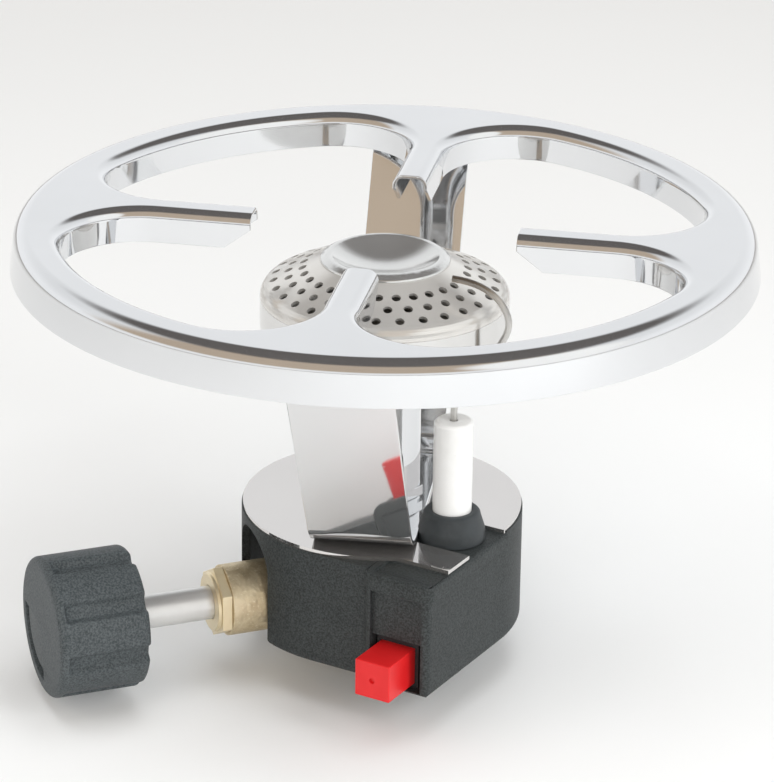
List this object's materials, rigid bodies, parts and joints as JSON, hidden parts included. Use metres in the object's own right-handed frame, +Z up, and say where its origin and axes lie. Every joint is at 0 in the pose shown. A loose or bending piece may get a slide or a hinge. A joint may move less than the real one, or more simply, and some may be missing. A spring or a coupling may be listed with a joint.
{
  "type": "portable gas burner",
  "caption": "Screw-on camping gas burner: chromed pan ring on a bent strap, perforated burner head, side valve with knob, and push-button spark igniter.",
  "frame": {"origin": "on the burner's axis at the housing's lower edge, where the cylinder's inlet thread begins", "axes": "+Z up along the burner's axis, -Y towards the front finger of the pan ring, +X to the right seen from the front"},
  "size_m": [0.195, 0.195, 0.1235],
  "materials": {
    "chrome": "mirror-bright plating",
    "head_steel": "pressed stainless steel",
    "steel": "turned steel",
    "spring_steel": "drawn wire",
    "electrode_steel": "drawn heat-proof wire",
    "brass": "cast and turned",
    "housing_plastic": "fine-grained moulding",
    "knob_plastic": "fine-grained moulding",
    "casing_plastic": "plain moulding",
    "button_plastic": "semi-gloss moulding",
    "seal_plastic": "plain seal",
    "rubber": "moulded rubber",
    "ceramic": "glazed"
  },
  "bodies": {
    "burner": {"pan_ring": "chrome", "leg_strap": "chrome", "top_plate": "chrome", "housing": "housing_plastic", "igniter_cover": "housing_plastic", "valve_body": "brass", "inlet_gasket": "rubber", "pusher_pin": "steel", "gland_nut": "brass", "gland_packing": "seal_plastic", "gas_jet": "brass", "lock_washer": "steel", "tube_nut": "brass", "mixing_tube": "head_steel", "burner_cup": "head_steel", "burner_cap": "head_steel", "burner_crown": "head_steel", "rubber_boot": "rubber", "ceramic_insulator": "ceramic", "spark_electrode": "electrode_steel", "contact_strip": "brass", "igniter_casing": "casing_plastic", "return_spring": "spring_steel", "piezo_crystal": "ceramic", "anvil": "steel"},
    "sealing_pad": {"seat_pad": "seal_plastic"},
    "spindle": {"valve_stem": "steel", "knob": "knob_plastic"},
    "button": {"igniter_button": "button_plastic"},
    "striker": {"hammer": "steel", "hammer_spring": "spring_steel"}
  },
  "joints": [
    {"name": "stem_slide", "type": "slide", "parent": "burner", "child": "sealing_pad", "axis": [-0.8526, -0.5225, 0], "range_m": [0, 0.0016]},
    {"name": "knob_turn", "type": "hinge", "parent": "sealing_pad", "child": "spindle", "pos_m": [0, 0, 0.01], "axis": [-0.8526, -0.5225, 0], "range_deg": [0, 540]},
    {"name": "button_press", "type": "slide", "parent": "burner", "child": "button", "axis": [0.342, 0.9397, 0], "range_m": [0, 0.006], "stiffness_N_per_m": 500, "deforming": ["return_spring", "hammer_spring"]},
    {"name": "hammer_strike", "type": "slide", "parent": "burner", "child": "striker", "axis": [0.342, 0.9397, 0], "range_m": [0, 0.004], "stiffness_N_per_m": 200, "deforming": ["hammer_spring"]}
  ],
  "couplings": [
    {"joint": "stem_slide", "follows": "knob_turn", "m_per_rad": 0.00015915}
  ]
}
